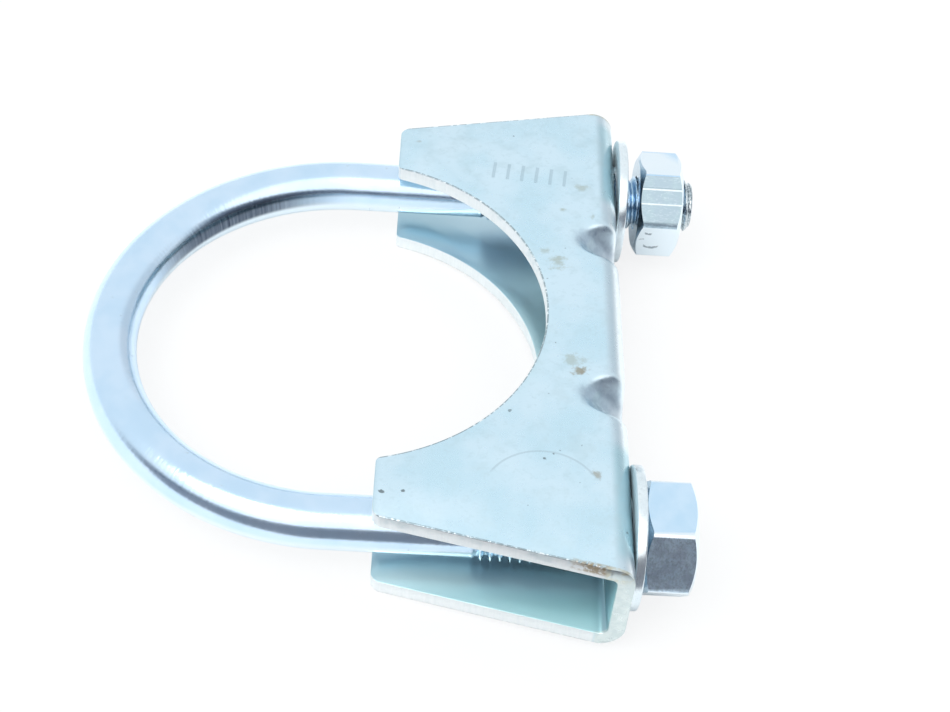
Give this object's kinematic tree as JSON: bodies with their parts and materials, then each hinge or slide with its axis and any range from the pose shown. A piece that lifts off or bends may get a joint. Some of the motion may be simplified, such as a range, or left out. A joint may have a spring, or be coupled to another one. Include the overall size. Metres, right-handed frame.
{
  "type": "u-bolt exhaust clamp",
  "caption": "Exhaust pipe clamp: a bent threaded rod drawn through a folded sheet saddle by hexagon nuts on plain washers, closing on a round pipe.",
  "frame": {"origin": "on the pipe's axis, at the middle of the saddle's height", "axes": "+X from the pipe through the web to the nuts, +Y towards the rear leg, +Z along the pipe"},
  "size_m": [0.0861, 0.0852, 0.0186],
  "materials": {
    "zinc_sheet": "blue-white zinc plate, satin, light stains",
    "zinc_rod": "blue-white zinc plate, bright",
    "zinc_washer": "zinc plate, satin",
    "zinc_nut": "blue-white zinc plate, bright with handling marks"
  },
  "bodies": {
    "saddle": {"saddle": "zinc_sheet"},
    "u_bolt": {"u_bolt": "zinc_rod"},
    "washer_front": {"washer_front": "zinc_washer"},
    "washer_rear": {"washer_rear": "zinc_washer"},
    "nut_front": {"nut_front": "zinc_nut"},
    "nut_rear": {"nut_rear": "zinc_nut"}
  },
  "joints": [
    {"name": "bolt_draw", "type": "slide", "parent": "saddle", "child": "u_bolt", "axis": [1, 0, 0], "range_m": [-0.004, 0.02]},
    {"name": "rear_nut_turn", "type": "hinge", "parent": "saddle", "child": "nut_rear", "pos_m": [0.0458, 0.0317, 0], "axis": [-1, 0, 0], "range_deg": [-1164, 5772]},
    {"name": "front_nut_turn", "type": "hinge", "parent": "saddle", "child": "nut_front", "pos_m": [0.0434, -0.0317, 0], "axis": [-1, 0, 0], "range_deg": [-1164, 5772]},
    {"name": "front_washer_slide", "type": "slide", "parent": "saddle", "child": "washer_front", "axis": [1, 0, 0], "range_m": [-0.0001, 0.0001]},
    {"name": "rear_washer_slide", "type": "slide", "parent": "saddle", "child": "washer_rear", "axis": [1, 0, 0], "range_m": [-0.0003, 0.002]}
  ],
  "couplings": [
    {"joint": "rear_nut_turn", "follows": "bolt_draw", "rad_per_m": 5026.5},
    {"joint": "front_nut_turn", "follows": "bolt_draw", "rad_per_m": 5026.5}
  ]
}
